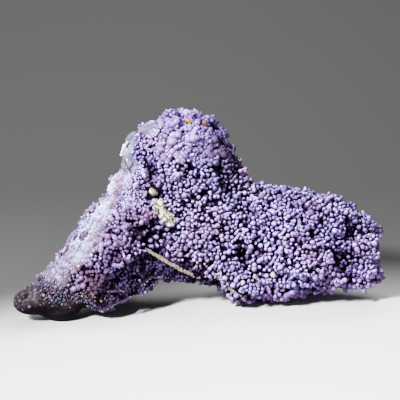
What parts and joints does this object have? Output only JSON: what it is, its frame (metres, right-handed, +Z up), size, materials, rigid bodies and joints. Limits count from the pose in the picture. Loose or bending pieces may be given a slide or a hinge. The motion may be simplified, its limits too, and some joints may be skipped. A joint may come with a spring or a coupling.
{
  "type": "botryoidal chalcedony",
  "caption": "Natural grape agate specimen: a peaked stone with a sloping limb, a worn foot and a round lobe, crusted all over with small lavender grape-like growths.",
  "frame": {"origin": "on the surface that the stone rests on, under the middle of its bounding box", "axes": "+X along the length, from the worn foot to the round lobe; +Y from the shown front to the back; +Z up as it rests"},
  "size_m": [0.257, 0.1194, 0.1393],
  "materials": {
    "chalcedony": "satin lavender chalcedony, paler on the grape tips and near black in the gaps"
  },
  "bodies": {
    "root": {"chalcedony": "chalcedony"}
  },
  "joints": []
}
